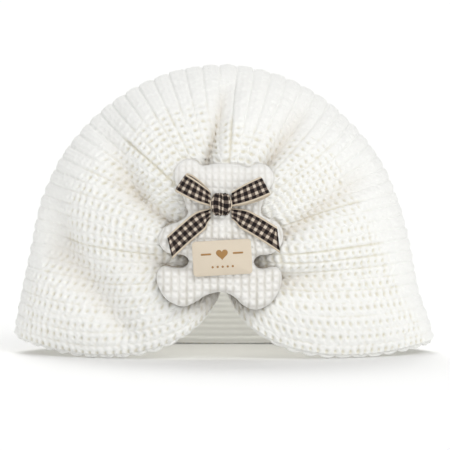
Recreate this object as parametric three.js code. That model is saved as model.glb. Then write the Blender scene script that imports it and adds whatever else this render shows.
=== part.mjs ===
// A baby's knitted turban hat, standing on its hem as it would by itself. Millimetres, +Z up, front at -Y.
// One thick rib-knit shell is gathered at the middle of its front, so that its ribs fan out from there, cross
// the outline and run round to the back. A padded bear patch covers the gather, and carries a gingham bow and
// a small leather tag. Places are given as seen from in front, x and z, and depths follow from the dome.
import * as THREE from "three";

// ---------------------------------------------------------------- driving dimensions
const domeCentre = 45; // height of the dome's centre above the surface that the hat stands on
const frontDepth = 48; // from the side outline to the fullest part of the front
const backDepth = 50;
const skirtFlare = 2; // how much deeper front and back are at the hem than at the dome's centre
const wall = 2.8; // thickness of the knit under its ribs
const gap = 0.3; // between pieces that touch

// The crowding brings the ribs closer at the hem than at the crown, and the turn is that of the middle rib.
const ribs = { count: 55, height: 1.3, crowding: 1.34, turn: 1.3 };
const gather = { top: 44, notch: 36, pull: 14, spread: 19 }; // the bunched line, and how far it draws in
const ribsTop = 60; // ribs start behind the bear from here, at the crown, down to the notch
const sweep = { across: 26, down: 24, from: 0.3, power: 1.8 }; // how low ribs hang beside the notch
const approach = { crown: 0.36, hem: 0.455 }; // share of a rib over which it turns to cross the outline
const backMeet = { top: 100, pressed: 1.5, bend: 1.43 }; // where ribs meet behind, the last pressed flat

const bear = { middleX: -1, middleZ: 44, thickness: 6 };
const ribbon = { width: 8.8, thickness: 1 };
const knot = { x: -1.1, z: 68.6, width: 8.6, height: 9.6, thickness: 5 };
const tag = { x: -0.6, z: 45.3, width: 25.8, height: 15.3, thickness: 1.2, corner: 1.6, tilt: 3.3 };

// The outline from in front, by the angle from straight up, left being negative: the distance from the dome's
// centre, and the lean of the rib that crosses it there, which is its angle from the vertical.
const outline = [
  { angle: -113, radius: 99.2, lean: -70 },
  { angle: -102, radius: 90.2, lean: -73 },
  { angle: -90, radius: 84.3, lean: -75 },
  { angle: -75, radius: 82.4, lean: -78 },
  { angle: -60, radius: 81.5, lean: -70 },
  { angle: -45, radius: 81, lean: -54 },
  { angle: -25, radius: 81, lean: -31 },
  { angle: 0, radius: 81, lean: 0 },
  { angle: 25, radius: 79.8, lean: 25 },
  { angle: 45, radius: 78.6, lean: 43 },
  { angle: 60, radius: 78.8, lean: 66 },
  { angle: 75, radius: 79.2, lean: 84 },
  { angle: 90, radius: 81.8, lean: 86 },
  { angle: 102, radius: 87.2, lean: 85 },
  { angle: 114, radius: 100.9, lean: 75 },
];

// Folds of the front, each a soft valley from a near end to a far end, with its depths there. It widens on
// that way, and the widths are those of its two slopes at the far end, to the left and to the right.
const folds = [
  { name: "crown", near: [-8, 86], far: [1, 118], nearDepth: 8, farDepth: 3.5, left: 4, right: 7 },
  { name: "right brow", near: [20.5, 86], far: [35, 107], nearDepth: 7, farDepth: 3.5, left: 7, right: 7 },
  { name: "left waist", near: [-24, 61], far: [-46, 80], nearDepth: 7, farDepth: 3.5, left: 6, right: 9 },
  { name: "left brow", near: [-38, 72], far: [-56, 106], nearDepth: 4.5, farDepth: 3, left: 8, right: 11 },
  { name: "right temple", near: [26.6, 54.6], far: [58, 80], nearDepth: 8, farDepth: 4, left: 12, right: 4 },
  { name: "left cheek", near: [-38, 14], far: [-80, 60], nearDepth: 5, farDepth: 8, left: 9, right: 13 },
  { name: "right cheek", near: [27, 35.5], far: [56, 37], nearDepth: 7, farDepth: 2, left: 7, right: 13 },
];

// The bear's outline is that of these ovals together.
const bearOvals = [
  { name: "head", x: 0.2, z: 74.5, halfWidth: 17.5, halfHeight: 12 },
  { name: "left ear", x: -15, z: 81.1, halfWidth: 6.6, halfHeight: 6.6 },
  { name: "right ear", x: 15.8, z: 79.4, halfWidth: 6.3, halfHeight: 6.3 },
  { name: "left shoulder", x: -10, z: 57, halfWidth: 11, halfHeight: 7.5 },
  { name: "right shoulder", x: 9, z: 58, halfWidth: 11.5, halfHeight: 8 },
  { name: "left arm", x: -19, z: 52.8, halfWidth: 9.5, halfHeight: 7.3 },
  { name: "right arm", x: 17.5, z: 54, halfWidth: 8.7, halfHeight: 8.3 },
  { name: "body", x: -1, z: 48, halfWidth: 14.1, halfHeight: 18.4 },
  { name: "left leg", x: -18.2, z: 32.6, halfWidth: 11, halfHeight: 9.2 },
  { name: "right leg", x: 14.2, z: 31.2, halfWidth: 11, halfHeight: 9.3 },
];

// The bow's loops run out from the knot to a fold, and its tails lie down over the arms to a slanting cut.
// The lean is that of the fold or the cut, from the vertical, positive to the left.
const bowLoops = [
  { name: "bow_loop_left", side: -1, rootZ: 70.4, foldX: -18.6, foldZ: 77.8, lean: -35 },
  { name: "bow_loop_right", side: 1, rootZ: 70.4, foldX: 18.3, foldZ: 76.7, lean: 28 },
];
const bowTails = [
  { name: "bow_tail_left", side: -1, rootZ: 65, bendX: -11.5, bendZ: 61, endX: -23.5, endZ: 49.6, lean: 13 },
  { name: "bow_tail_right", side: 1, rootZ: 65, bendX: 10.5, bendZ: 62, endX: 24, endZ: 52.9, lean: 7 },
];

// A loop from its root in the knot out along the bear, round its fold and back over itself: the share of the
// way out, the height over the ribbon that lies on the bear, and the share of the ribbon's width.
const loopProfile = [
  { out: 0, height: 0, width: 0.6 },
  { out: 0.35, height: 0, width: 0.86 },
  { out: 0.7, height: 0, width: 1 },
  { out: 0.94, height: 0.2, width: 1 },
  { out: 1, height: 1.3, width: 1 },
  { out: 0.96, height: 2.5, width: 1 },
  { out: 0.8, height: 3.6, width: 1 },
  { out: 0.55, height: 4.2, width: 0.97 },
  { out: 0.3, height: 3.6, width: 0.84 },
  { out: 0.1, height: 2.4, width: 0.68 },
  { out: 0, height: 2, width: 0.6 },
];

// ---------------------------------------------------------------- small helpers
const radians = THREE.MathUtils.degToRad;
const degrees = THREE.MathUtils.radToDeg;
const { clamp, lerp, smoothstep } = THREE.MathUtils;

// A smooth curve through the named columns of the outline.
function outlineAt(angle, column) {
  const next = outline.findIndex((row) => row.angle > angle);
  const i = clamp(next < 0 ? outline.length - 2 : next - 1, 0, outline.length - 2);
  const slope = (k) => {
    const [before, after] = [outline[Math.max(k - 1, 0)], outline[Math.min(k + 1, outline.length - 1)]];
    return (after[column] - before[column]) / (after.angle - before.angle);
  };
  const [low, high] = [outline[i], outline[i + 1]];
  const span = high.angle - low.angle;
  const t = (angle - low.angle) / span;
  return (
    (2 * t ** 3 - 3 * t ** 2 + 1) * low[column] +
    (t ** 3 - 2 * t ** 2 + t) * span * slope(i) +
    (3 * t ** 2 - 2 * t ** 3) * high[column] +
    (t ** 3 - t ** 2) * span * slope(i + 1)
  );
}

// The nearest place on a segment as a share of its way, how far off that is, and how far to the left of it.
function distanceToSegment(x, z, [x1, z1], [x2, z2]) {
  const long = Math.hypot(x2 - x1, z2 - z1);
  const t = clamp(((x - x1) * (x2 - x1) + (z - z1) * (z2 - z1)) / long ** 2, 0, 1);
  const aside = ((x2 - x1) * (z - z1) - (z2 - z1) * (x - x1)) / long;
  return { t, aside, distance: Math.hypot(x - lerp(x1, x2, t), z - lerp(z1, z2, t)) };
}

function meshFrom(name, positions, index, material) {
  const geometry = new THREE.BufferGeometry();
  geometry.setAttribute("position", new THREE.Float32BufferAttribute(positions, 3));
  geometry.setIndex(index);
  geometry.computeVertexNormals();
  const mesh = new THREE.Mesh(geometry, material);
  mesh.name = name;
  return mesh;
}

// ---------------------------------------------------------------- the dome that the knit lies on
// The skirt's half width at a height, which is where the outline meets that height.
function skirtHalfWidth(side, z) {
  let [low, high] = [90, Math.abs((side < 0 ? outline[0] : outline.at(-1)).angle)];
  for (let step = 0; step < 24; step++) {
    const angle = (low + high) / 2;
    const height = domeCentre + outlineAt(side * angle, "radius") * Math.cos(radians(angle));
    [low, high] = height > z ? [angle, high] : [low, angle];
  }
  return outlineAt(side * low, "radius") * Math.sin(radians(low));
}

// The dome's depth and outward direction at a place. The facing is -1 in front and 1 behind.
function domeAt(x, z, facing) {
  const up = Math.max(z - domeCentre, 0);
  const half =
    up > 0 ? outlineAt(degrees(Math.atan2(x, up)), "radius") : skirtHalfWidth(Math.sign(x) || 1, z);
  const depth = (facing < 0 ? frontDepth : backDepth) + skirtFlare * Math.max(0, 1 - z / domeCentre);
  const share = Math.min(Math.hypot(x, up) / half, 1);
  const y = facing * depth * Math.sqrt(1 - share ** 2);
  return { y, outward: new THREE.Vector3(x / half ** 2, y / depth ** 2, up / half ** 2).normalize() };
}

// ---------------------------------------------------------------- the knit shell
// across runs over the ribs, from -1 at the left hem through 0 at the crown to 1 at the right hem.
// along runs with a rib, from -1 at the gather through 0 on the outline to 1 at the middle of the back.
function crossing(across) {
  const share = Math.abs(across);
  const widest = Math.abs((across < 0 ? outline[0] : outline.at(-1)).angle);
  const spread = ribs.crowding * share + (1 - ribs.crowding) * share ** 2;
  const angle = widest * Math.sign(across) * spread + ribs.turn * (1 - share ** 2);
  const radius = outlineAt(angle, "radius");
  const rim = new THREE.Vector2(Math.sin(radians(angle)), Math.cos(radians(angle))).multiplyScalar(radius);
  rim.y += domeCentre;
  return { rim, lean: radians(outlineAt(angle, "lean")) };
}

// A rib's course seen from in front, from the gather to the outline.
function frontCourse(across) {
  const share = Math.abs(across);
  const { rim, lean } = crossing(across);
  const start = new THREE.Vector2(0, lerp(ribsTop, gather.notch, share ** 2));
  const hanging = Math.max(0, (share - sweep.from) / (1 - sweep.from)) ** sweep.power;
  const inner = start.clone().lerp(rim, 1 / 3);
  inner.x -= Math.sign(across) * sweep.across * hanging;
  inner.y -= sweep.down * hanging;
  const reach = start.distanceTo(rim) * lerp(approach.crown, approach.hem, hanging);
  const outer = new THREE.Vector2(rim.x - reach * Math.sin(lean), rim.y - reach * Math.cos(lean));
  return new THREE.CubicBezierCurve(start, inner, outer, rim);
}

// Behind, the ribs of the two sides meet level at the middle.
function backCourse(across) {
  const share = Math.abs(across);
  const { rim } = crossing(across);
  const height = backMeet.top - (backMeet.top + backMeet.pressed) * share ** backMeet.bend;
  const rise = lerp(0.7, 0.35, share ** 4);
  const inner = new THREE.Vector2(rim.x * 0.33, height);
  const outer = new THREE.Vector2(rim.x * 0.62, lerp(height, rim.y, rise));
  return new THREE.CubicBezierCurve(new THREE.Vector2(0, height), inner, outer, rim);
}

// How far the front is drawn in by the gather and the folds.
function drawnIn(x, y, z) {
  const near = distanceToSegment(x, z, [0, gather.notch], [0, gather.top]).distance / gather.spread;
  let depth = 0;
  for (const fold of folds) {
    const { t, aside, distance } = distanceToSegment(x, z, fold.near, fold.far);
    const toLeft = (1 + aside / Math.max(distance, 1e-6)) / 2;
    const width = (lerp(fold.right, fold.left, toLeft) * (1 + t)) / 2;
    depth += lerp(fold.nearDepth, fold.farDepth, t) * Math.exp(-((distance / width) ** 2));
  }
  return gather.pull * Math.exp(-near * near) + depth * smoothstep(-y, 0, 20);
}

// A column of the shell, one point for each place along its rib; raised is how far each stands off the dome.
function ribColumn(across, places, raised) {
  const [front, back] = [frontCourse(across), backCourse(across)];
  return places.map((along) => {
    const facing = along < 0 ? -1 : 1;
    const course = (along < 0 ? front : back).getPoint(Math.cos(radians(90 * along)));
    const [x, z] = [course.x, Math.max(course.y, 0)];
    const { y, outward } = domeAt(x, z, facing);
    const inward = facing < 0 ? drawnIn(x, y, z) : 0;
    return new THREE.Vector3(x, y, z).addScaledVector(outward, raised(along) - inward);
  });
}

function knitShell(material) {
  const frontRows = 11;
  const backRows = 9;
  const places = [];
  for (let i = -frontRows; i <= backRows; i++) places.push(i < 0 ? i / frontRows : i / backRows);
  const lastRow = places.length - 1;

  // A rib stands up between two grooves, and sinks to nothing at the gather and at the middle of the back.
  const groove = () => 0;
  const crest = (along) => ribs.height * smoothstep(1 - Math.abs(along), 0, 0.25);
  const lining = () => -wall;
  const outerColumns = [];
  const innerColumns = [];
  for (let rib = 0; rib <= ribs.count; rib++) {
    const across = (2 * rib) / ribs.count - 1;
    outerColumns.push(ribColumn(across, places, groove));
    innerColumns.push(ribColumn(across, places, lining));
    if (rib < ribs.count)
      for (const shoulder of [0.3, 0.7])
        outerColumns.push(ribColumn(across + (2 * shoulder) / ribs.count, places, crest));
  }

  const positions = [];
  const index = [];
  function addQuad([a, b, c, d], turned) {
    for (const triangle of [
      [a, b, c],
      [a, c, d],
    ])
      if (new Set(triangle).size === 3) index.push(...(turned ? triangle.reverse() : triangle));
  }

  // Lays down one face of the knit. At the gather and at the middle of the back its two sides share vertices.
  function addFace(columns, turned) {
    const last = columns.length - 1;
    const numbers = new Map();
    const vertex = (row, column) => {
      const own = row === 0 || row === lastRow ? Math.min(column, last - column) : column;
      const key = row * columns.length + own;
      if (!numbers.has(key)) {
        numbers.set(key, positions.length / 3);
        positions.push(...columns[own][row].toArray());
      }
      return numbers.get(key);
    };
    for (let row = 0; row < lastRow; row++)
      for (let column = 0; column < last; column++) {
        const left = [vertex(row, column), vertex(row + 1, column)];
        addQuad([...left, vertex(row + 1, column + 1), vertex(row, column + 1)], turned);
      }
    return [(row) => vertex(row, 0), (row) => vertex(row, last)];
  }

  const outerHems = addFace(outerColumns, true);
  const innerHems = addFace(innerColumns, false);
  for (const side of [0, 1])
    for (let row = 0; row < lastRow; row++) {
      const [outer, inner] = [outerHems[side], innerHems[side]];
      addQuad([outer(row), inner(row), inner(row + 1), outer(row + 1)], side === 0);
    }
  return meshFrom("knit_shell", positions, index, material);
}

// ---------------------------------------------------------------- the bear patch
// The pad lies on the ribs' crests and follows the dome; lifted is the height over its back.
function padDepth(x, z, lifted) {
  const clearance = 1.1 * (ribs.height + gap);
  return domeAt(x, z, -1).y - clearance - lifted;
}

// How far the bear's outline is from its middle in a direction, as the furthest that any oval reaches.
function bearReach(turn) {
  const [dx, dz] = [Math.cos(turn), Math.sin(turn)];
  let furthest = 0;
  for (const oval of bearOvals) {
    const [px, pz] = [(bear.middleX - oval.x) / oval.halfWidth, (bear.middleZ - oval.z) / oval.halfHeight];
    const [qx, qz] = [dx / oval.halfWidth, dz / oval.halfHeight];
    const a = qx * qx + qz * qz;
    const b = px * qx + pz * qz;
    const inside = b * b - a * (px * px + pz * pz - 1);
    if (inside > 0) furthest = Math.max(furthest, (Math.sqrt(inside) - b) / a);
  }
  return furthest;
}

function bearPatch(material) {
  const turns = 100;
  const rings = [
    { share: 0.5, height: 0 },
    { share: 0.94, height: 0 },
    { share: 1, height: 0.3 },
    { share: 1, height: 0.55 },
    { share: 0.97, height: 0.82 },
    { share: 0.9, height: 0.95 },
    { share: 0.7, height: 1 },
    { share: 0.35, height: 1 },
  ];
  const positions = [];
  const add = (x, z, height) => positions.push(x, padDepth(x, z, height * bear.thickness), z);
  for (const ring of rings)
    for (let i = 0; i < turns; i++) {
      const turn = (2 * Math.PI * i) / turns;
      const reach = bearReach(turn) * ring.share;
      add(bear.middleX + reach * Math.cos(turn), bear.middleZ + reach * Math.sin(turn), ring.height);
    }
  const [backMiddle, frontMiddle] = [rings.length * turns, rings.length * turns + 1];
  add(bear.middleX, bear.middleZ, 0);
  add(bear.middleX, bear.middleZ, 1);

  const index = [];
  for (let i = 0; i < turns; i++) {
    const j = (i + 1) % turns;
    index.push(backMiddle, j, i);
    for (let ring = 0; ring + 1 < rings.length; ring++) {
      const [a, b] = [ring * turns + i, ring * turns + j];
      index.push(a, b, a + turns, b, b + turns, a + turns);
    }
    const outermost = (rings.length - 1) * turns;
    index.push(frontMiddle, outermost + i, outermost + j);
  }
  return meshFrom("bear_patch", positions, index, material);
}

// ---------------------------------------------------------------- the bow
// A strip of ribbon through a row of places, each with its middle, the direction across it and its width.
function ribbonStrip(name, places, material) {
  const positions = [];
  const index = [];
  places.forEach(({ middle, across, width }, i) => {
    const before = places[Math.max(i - 1, 0)].middle;
    const after = places[Math.min(i + 1, places.length - 1)].middle;
    const along = after.clone().sub(before).normalize();
    const outward = along.cross(across).normalize();
    for (const [side, face] of [
      [-1, -1],
      [1, -1],
      [1, 1],
      [-1, 1],
    ]) {
      const corner = middle.clone().addScaledVector(across, (side * width) / 2);
      positions.push(...corner.addScaledVector(outward, (face * ribbon.thickness) / 2).toArray());
    }
  });
  const last = 4 * (places.length - 1);
  index.push(0, 2, 1, 0, 3, 2, last, last + 1, last + 2, last, last + 2, last + 3);
  for (let i = 0; i < last; i += 4)
    for (let k = 0; k < 4; k++) {
      const [a, b] = [i + k, i + ((k + 1) % 4)];
      index.push(a, b, a + 4, b, b + 4, a + 4);
    }
  return meshFrom(name, positions, index, material);
}

// A place of ribbon that lies along the bear's front face, at a height over it and across a given direction.
function ribbonPlace(x, z, height, lean, width) {
  const [dx, dz] = [-Math.sin(lean), Math.cos(lean)];
  const half = ribbon.width / 2;
  const lifted = bear.thickness + gap + ribbon.thickness / 2 + height;
  const fall = padDepth(x + half * dx, z + half * dz, 0) - padDepth(x - half * dx, z - half * dz, 0);
  const across = new THREE.Vector3(dx, fall / ribbon.width, dz).normalize();
  return { middle: new THREE.Vector3(x, padDepth(x, z, lifted), z), across, width: width * ribbon.width };
}

function bowLoop({ name, side, rootZ, foldX, foldZ, lean }, material) {
  const rootX = knot.x + side * (knot.width / 2 + gap);
  const places = loopProfile.map(({ out, height, width }) =>
    ribbonPlace(lerp(rootX, foldX, out), lerp(rootZ, foldZ, out), height, radians(lean) * out, width),
  );
  return ribbonStrip(name, side < 0 ? places : places.reverse(), material);
}

// A tail is drawn together at its root, and square to its course up to where its end is cut on a slant.
function bowTail({ name, side, rootZ, bendX, bendZ, endX, endZ, lean }, material) {
  const steps = 8;
  const course = new THREE.QuadraticBezierCurve(
    new THREE.Vector2(knot.x + side * (knot.width / 2 + gap), rootZ),
    new THREE.Vector2(bendX, bendZ),
    new THREE.Vector2(endX, endZ),
  );
  const places = [];
  for (let i = 0; i <= steps; i++) {
    const t = i / steps;
    const { x, y: z } = course.getPoint(t);
    const heading = course.getTangent(t);
    const square = Math.atan2(side * heading.y, side * heading.x);
    const opened = smoothstep(t, 0, 0.4);
    const turned = lerp(square * opened, radians(lean), smoothstep(t, 0.85, 1));
    const width = lerp(0.45, 1, opened) / Math.cos(turned - square * opened);
    places.push(ribbonPlace(x, z, 0, turned, width));
  }
  return ribbonStrip(name, side < 0 ? places : places.reverse(), material);
}

// The knot is the ribbon wrapped over the middle: an upright barrel with its back on the bear.
function bowKnot(material) {
  const outlineShape = new THREE.Shape();
  outlineShape.absellipse(0, 0, knot.height / 2, knot.thickness / 2, 0, 2 * Math.PI);
  const geometry = new THREE.ExtrudeGeometry(outlineShape, {
    depth: knot.width - 1.6,
    curveSegments: 12,
    bevelThickness: 0.8,
    bevelSize: 0.5,
    bevelOffset: -0.5,
    bevelSegments: 2,
  });
  geometry.translate(0, 0, 0.8 - knot.width / 2);
  geometry.rotateY(Math.PI / 2);
  const mesh = new THREE.Mesh(geometry, material);
  mesh.name = "bow_knot";
  mesh.position.set(knot.x, padDepth(knot.x, knot.z, bear.thickness + gap + knot.thickness / 2), knot.z);
  return mesh;
}

// ---------------------------------------------------------------- the tag
function leatherTag(material) {
  const [w, h, r] = [tag.width / 2, tag.height / 2, tag.corner];
  const shape = new THREE.Shape();
  shape.absarc(w - r, h - r, r, 0, Math.PI / 2);
  shape.absarc(r - w, h - r, r, Math.PI / 2, Math.PI);
  shape.absarc(r - w, r - h, r, Math.PI, 1.5 * Math.PI);
  shape.absarc(w - r, r - h, r, 1.5 * Math.PI, 2 * Math.PI);
  const bevel = 0.25;
  const geometry = new THREE.ExtrudeGeometry(shape, {
    depth: tag.thickness - 2 * bevel,
    curveSegments: 5,
    bevelThickness: bevel,
    bevelSize: bevel,
    bevelOffset: -bevel,
    bevelSegments: 1,
  });
  geometry.translate(0, 0, bevel);
  geometry.rotateZ(radians(tag.tilt));
  geometry.rotateX(Math.PI / 2);
  const mesh = new THREE.Mesh(geometry, material);
  mesh.name = "tag";
  const lowest = tag.z - tag.height / 2;
  mesh.position.set(tag.x, padDepth(tag.x, lowest, bear.thickness + gap), tag.z);
  return mesh;
}

// ---------------------------------------------------------------- the whole hat
const knit = new THREE.MeshStandardMaterial({ color: 0xf4f1ea, roughness: 0.95, metalness: 0 });
const waffleCloth = new THREE.MeshStandardMaterial({ color: 0xf7f5f0, roughness: 0.9, metalness: 0 });
const gingham = new THREE.MeshStandardMaterial({ color: 0x4a3c38, roughness: 0.8, metalness: 0 });
const leather = new THREE.MeshStandardMaterial({ color: 0xe6d6b8, roughness: 0.65, metalness: 0 });

const hat = new THREE.Group();
hat.add(knitShell(knit), bearPatch(waffleCloth), bowKnot(gingham), leatherTag(leather));
for (const loop of bowLoops) hat.add(bowLoop(loop, gingham));
for (const tail of bowTails) hat.add(bowTail(tail, gingham));

// The origin is in the middle of the whole, at the height of the surface that it stands on.
const bounds = new THREE.Box3().setFromObject(hat);
const middle = bounds.getCenter(new THREE.Vector3());
hat.position.set(-middle.x, -middle.y, -bounds.min.z);

export default hat;
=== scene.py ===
# %% [markdown]
# A baby's turban hat in rib knit, with a padded bear, a gingham bow and a leather tag.
# The solid model of the hat is loaded first and stays as it is. It gives every place and size.
# Each step then builds the soft, visible form of one part over its solid, in metres, in the same frame.

# %% Load the solid model
import bpy
import math
import numpy as np
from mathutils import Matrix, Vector
from mathutils.geometry import delaunay_2d_cdt


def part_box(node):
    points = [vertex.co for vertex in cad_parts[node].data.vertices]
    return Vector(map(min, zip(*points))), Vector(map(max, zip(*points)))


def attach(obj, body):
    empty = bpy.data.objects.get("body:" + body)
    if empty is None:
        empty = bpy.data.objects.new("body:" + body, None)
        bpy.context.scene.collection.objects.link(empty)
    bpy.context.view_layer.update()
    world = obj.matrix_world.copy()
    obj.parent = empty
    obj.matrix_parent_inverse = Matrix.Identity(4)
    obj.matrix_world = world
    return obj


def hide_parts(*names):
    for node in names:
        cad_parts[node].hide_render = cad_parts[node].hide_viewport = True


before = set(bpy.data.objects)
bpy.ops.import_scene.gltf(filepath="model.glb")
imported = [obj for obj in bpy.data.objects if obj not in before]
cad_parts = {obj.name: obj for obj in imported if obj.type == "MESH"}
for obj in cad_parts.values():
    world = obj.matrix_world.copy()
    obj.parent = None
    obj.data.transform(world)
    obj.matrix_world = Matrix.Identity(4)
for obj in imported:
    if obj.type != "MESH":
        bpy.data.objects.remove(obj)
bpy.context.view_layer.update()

# %% [markdown]
# The camera looks at the front from a little above, as one looks at a hat on a table from across a room.
# A long lens from four metres away keeps the fan of ribs nearly free of perspective.

# %% Camera
EYE_DISTANCE = 4.0
EYE_HEIGHT_ANGLE = math.radians(3.3)
LOOK_AT = Vector((0.0003, 0.0, 0.0565))
LENS = 724  # mm, over Blender's usual sensor of 36 mm


def put(name, data):
    """A new object in the scene."""
    made = bpy.data.objects.new(name, data)
    bpy.context.scene.collection.objects.link(made)
    return made


camera = put("camera", bpy.data.cameras.new("camera"))
back_off = Vector((0, -math.cos(EYE_HEIGHT_ANGLE), math.sin(EYE_HEIGHT_ANGLE)))
camera.location = LOOK_AT + EYE_DISTANCE * back_off
camera.rotation_euler = (math.radians(90) - EYE_HEIGHT_ANGLE, 0, 0)
camera.data.lens = LENS
camera.data.clip_end = 20
bpy.context.scene.camera = camera
print("camera height, m:", round(camera.location.z, 3))

# %% [markdown]
# Soft things need a form to lie on. Here that is a dome: a flat, wide half-egg over a flared skirt.
# A sculptor would push one out of a sphere. A table of the outline as seen from in front is surer,
# because every rib has to cross that outline at a known place. The depth follows from an ellipse.

# %% The dome under the knit, in millimetres
DOME_CENTRE = 45.0
FRONT_DEPTH = 48.0
BACK_DEPTH = 50.0
SKIRT_FLARE = 2.0
WALL = 2.8

# degrees from straight up, distance from the dome's centre, lean of the rib there from the vertical
OUTLINE = np.array([
    (-113, 99.2, -70), (-102, 90.2, -73), (-90, 84.3, -75), (-75, 82.4, -78), (-60, 81.5, -70),
    (-45, 81.0, -54), (-25, 81.0, -31), (0, 81.0, 0), (25, 79.8, 25), (45, 78.6, 43),
    (60, 78.8, 66), (75, 79.2, 84), (90, 81.8, 86), (102, 87.2, 85), (114, 100.9, 75),
], float)
RADIUS, LEAN = 1, 2


def circle(count):
    """Angles at even steps once round."""
    return np.linspace(0, 2 * math.pi, count + 1)[:-1]


def unit(vectors):
    return vectors / np.linalg.norm(vectors, axis=-1, keepdims=True)


def run_along(line):
    """How far each place of a line is from its start."""
    return np.concatenate([[0], np.cumsum(np.linalg.norm(np.diff(line, axis=0), axis=1))])


def resample(line, run, at):
    return np.stack([np.interp(at, run, column) for column in line.T], 1)


def hermite(t, span, start, leaving, end, arriving):
    """A smooth curve between two values that leaves and arrives at given slopes."""
    return ((2 * t**3 - 3 * t**2 + 1) * start + (t**3 - 2 * t**2 + t) * span * leaving
            + (3 * t**2 - 2 * t**3) * end + (t**3 - t**2) * span * arriving)


def through(turn, value, at):
    """A smooth curve through the rows of a table, at any places."""
    slope = np.empty(len(turn))
    slope[1:-1] = (value[2:] - value[:-2]) / (turn[2:] - turn[:-2])
    slope[0] = (value[1] - value[0]) / (turn[1] - turn[0])
    slope[-1] = (value[-1] - value[-2]) / (turn[-1] - turn[-2])
    i = np.clip(np.searchsorted(turn, at, side="right") - 1, 0, len(turn) - 2)
    span = turn[i + 1] - turn[i]
    t = (at - turn[i]) / span
    return hermite(t, span, value[i], slope[i], value[i + 1], slope[i + 1])


def on_outline(angle, column):
    return through(OUTLINE[:, 0], OUTLINE[:, column], angle)


def skirt_table(side):
    widest = abs(OUTLINE[0, 0] if side < 0 else OUTLINE[-1, 0])
    angle = np.linspace(90, widest, 400)
    radius = on_outline(side * angle, RADIUS)
    height = DOME_CENTRE + radius * np.cos(np.radians(angle))
    return height[::-1], (radius * np.sin(np.radians(angle)))[::-1]


SKIRT = {-1: skirt_table(-1), 1: skirt_table(1)}


def dome(x, z, facing):
    """The depth of the dome and its outward direction. The facing is -1 in front and 1 behind."""
    up = np.maximum(z - DOME_CENTRE, 0)
    half = np.where(
        up > 0, on_outline(np.degrees(np.arctan2(x, up)), RADIUS),
        np.where(x < 0, np.interp(z, *SKIRT[-1]), np.interp(z, *SKIRT[1])))
    depth = np.where(facing < 0, FRONT_DEPTH, BACK_DEPTH)
    depth = depth + SKIRT_FLARE * np.maximum(0, 1 - z / DOME_CENTRE)
    share = np.minimum(np.hypot(x, up) / half, 1)
    y = facing * depth * np.sqrt(1 - share**2)
    return y, unit(np.stack([x / half**2, y / depth**2, up / half**2], -1))


print("dome width at the hem, mm:", round(float(SKIRT[1][1][0] + SKIRT[-1][1][0]), 1))

# %% [markdown]
# The bear is sewn on all round, and its stitches draw the knit in along its outline. So that outline comes
# first. Its distance is worked out once over a small map of the front, and is then read off at any place.

# %% The bear's outline, in millimetres, from under the right arm round over the head to the legs
BEAR_OUTLINE = np.array([
    (13.4, 43.2), (15.4, 45.4), (19.6, 45.9), (22.2, 47.0), (24.7, 49.3), (26.0, 52.4), (25.9, 56.2),
    (24.0, 59.5), (21.9, 61.2), (19.2, 62.0), (17.0, 63.4), (16.3, 65.4), (17.2, 69.0), (19.0, 73.2),
    (21.2, 76.6), (22.1, 79.9), (21.1, 82.8), (19.1, 84.8), (16.3, 85.7), (13.6, 85.3), (11.2, 84.2),
    (6.4, 85.4), (1.1, 85.9), (-4.4, 85.6), (-9.3, 84.9), (-11.7, 86.6), (-15.0, 87.7), (-17.8, 87.1),
    (-19.9, 85.5), (-21.3, 83.0), (-21.6, 80.4), (-20.6, 76.6), (-18.4, 72.6), (-17.1, 69.4), (-16.4, 66.6),
    (-15.6, 64.6), (-17.0, 62.3), (-20.1, 60.3), (-23.0, 59.4), (-25.5, 58.1), (-27.7, 55.7), (-28.5, 52.8),
    (-27.6, 49.6), (-25.0, 47.1), (-21.5, 46.0), (-17.4, 45.6), (-15.3, 43.2), (-17.5, 40.6), (-21.6, 40.4),
    (-25.2, 41.1), (-27.8, 40.2), (-29.2, 37.7), (-28.9, 33.1), (-26.1, 27.6), (-22.1, 24.6), (-18, 23.3),
    (-14.5, 24.1), (-11, 26.1), (-7.4, 28.3), (-2.4, 29.6), (1.7, 29.1), (5.2, 27.1), (7.7, 24.6),
    (11.3, 22.5), (14.8, 22), (18.8, 23.5), (22.9, 27.6), (25.1, 32.6), (25.4, 37.2), (23.9, 40),
    (21.3, 40.7), (17.5, 40.0), (14.6, 40.6),
])


def closed_curve(points, step):
    """Places at even steps along a smooth closed curve through some points."""
    before, after = np.roll(points, 1, 0), np.roll(points, -1, 0)
    heading = unit(after - before)[:, None]
    span = np.linalg.norm(after - points, axis=1, keepdims=True)[:, None]
    t = np.linspace(0, 1, 20, endpoint=False)[None, :, None]
    fine = hermite(t, span, points[:, None], heading, after[:, None], np.roll(heading, -1, 0))
    fine = np.vstack([fine.reshape(-1, 2), points[:1]])
    run = run_along(fine)
    wanted = np.linspace(0, run[-1], int(run[-1] / step) + 1)[:-1]
    return resample(fine, run, wanted)


def to_edge(places, line):
    """How far each place is inside a closed line, negative outside it."""
    a, b = line, np.roll(line, -1, 0)
    d = b - a
    nearest = np.full(len(places), np.inf)
    crossings = np.zeros(len(places), int)
    for (x1, z1), (dx, dz) in zip(a, d):
        px, pz = places[:, 0] - x1, places[:, 1] - z1
        t = np.clip((px * dx + pz * dz) / (dx * dx + dz * dz), 0, 1)
        nearest = np.minimum(nearest, np.hypot(px - t * dx, pz - t * dz))
        if dz != 0:
            crossings += ((pz >= 0) != (pz - dz >= 0)) & (px < pz * dx / dz)
    return np.where(crossings % 2 == 1, nearest, -nearest)


# %% Maps of the bear's edge and of what it covers
LINE_STEP = 0.4
bear_line = closed_curve(BEAR_OUTLINE, LINE_STEP)
print("round the bear, mm:", round(LINE_STEP * len(bear_line)))

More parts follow.
